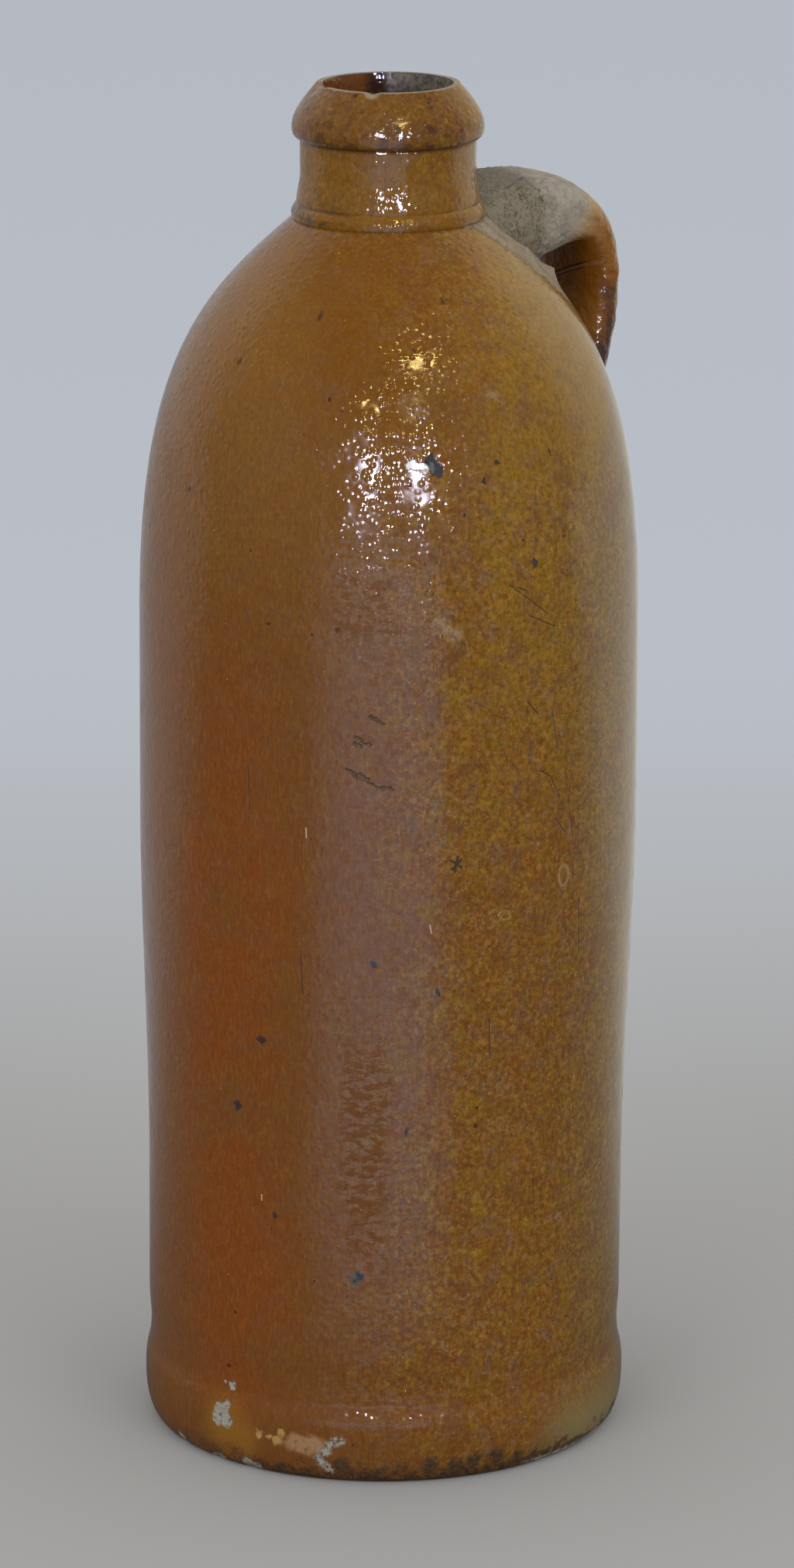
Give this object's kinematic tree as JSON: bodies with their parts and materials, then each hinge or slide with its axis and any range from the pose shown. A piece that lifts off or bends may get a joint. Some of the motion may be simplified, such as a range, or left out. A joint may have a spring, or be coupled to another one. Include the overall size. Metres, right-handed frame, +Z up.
{
  "type": "stoneware bottle",
  "caption": "Tall salt-glazed stoneware bottle with a domed shoulder, short neck, rounded collar lip, low foot band and a small strap handle on the shoulder.",
  "frame": {"origin": "centre of the flat underside, on the bottle's axis", "axes": "+Z up along the axis, +X towards the handle"},
  "size_m": [0.1043, 0.102, 0.28],
  "materials": {
    "foot_glaze": "salt glaze over iron-brown stoneware, chipped at the lower edge, bare underneath",
    "wall_glaze": "glossy orange-brown to ochre salt glaze with orange-peel pitting",
    "neck_glaze": "glossy ochre-brown salt glaze with dark grooves",
    "lip_glaze": "glossy mottled brown salt glaze, rim worn to the pale clay",
    "handle_bare_clay": "matt, rough, pale grey clay with fine cracks, almost without glaze",
    "handle_glaze": "glossy brown salt glaze, darker at the lower outer edge"
  },
  "bodies": {
    "root": {"foot": "foot_glaze", "body_wall": "wall_glaze", "neck": "neck_glaze", "lip": "lip_glaze", "handle_upper_root": "handle_bare_clay", "handle_strap": "handle_glaze", "handle_lower_root": "handle_glaze"}
  },
  "joints": []
}
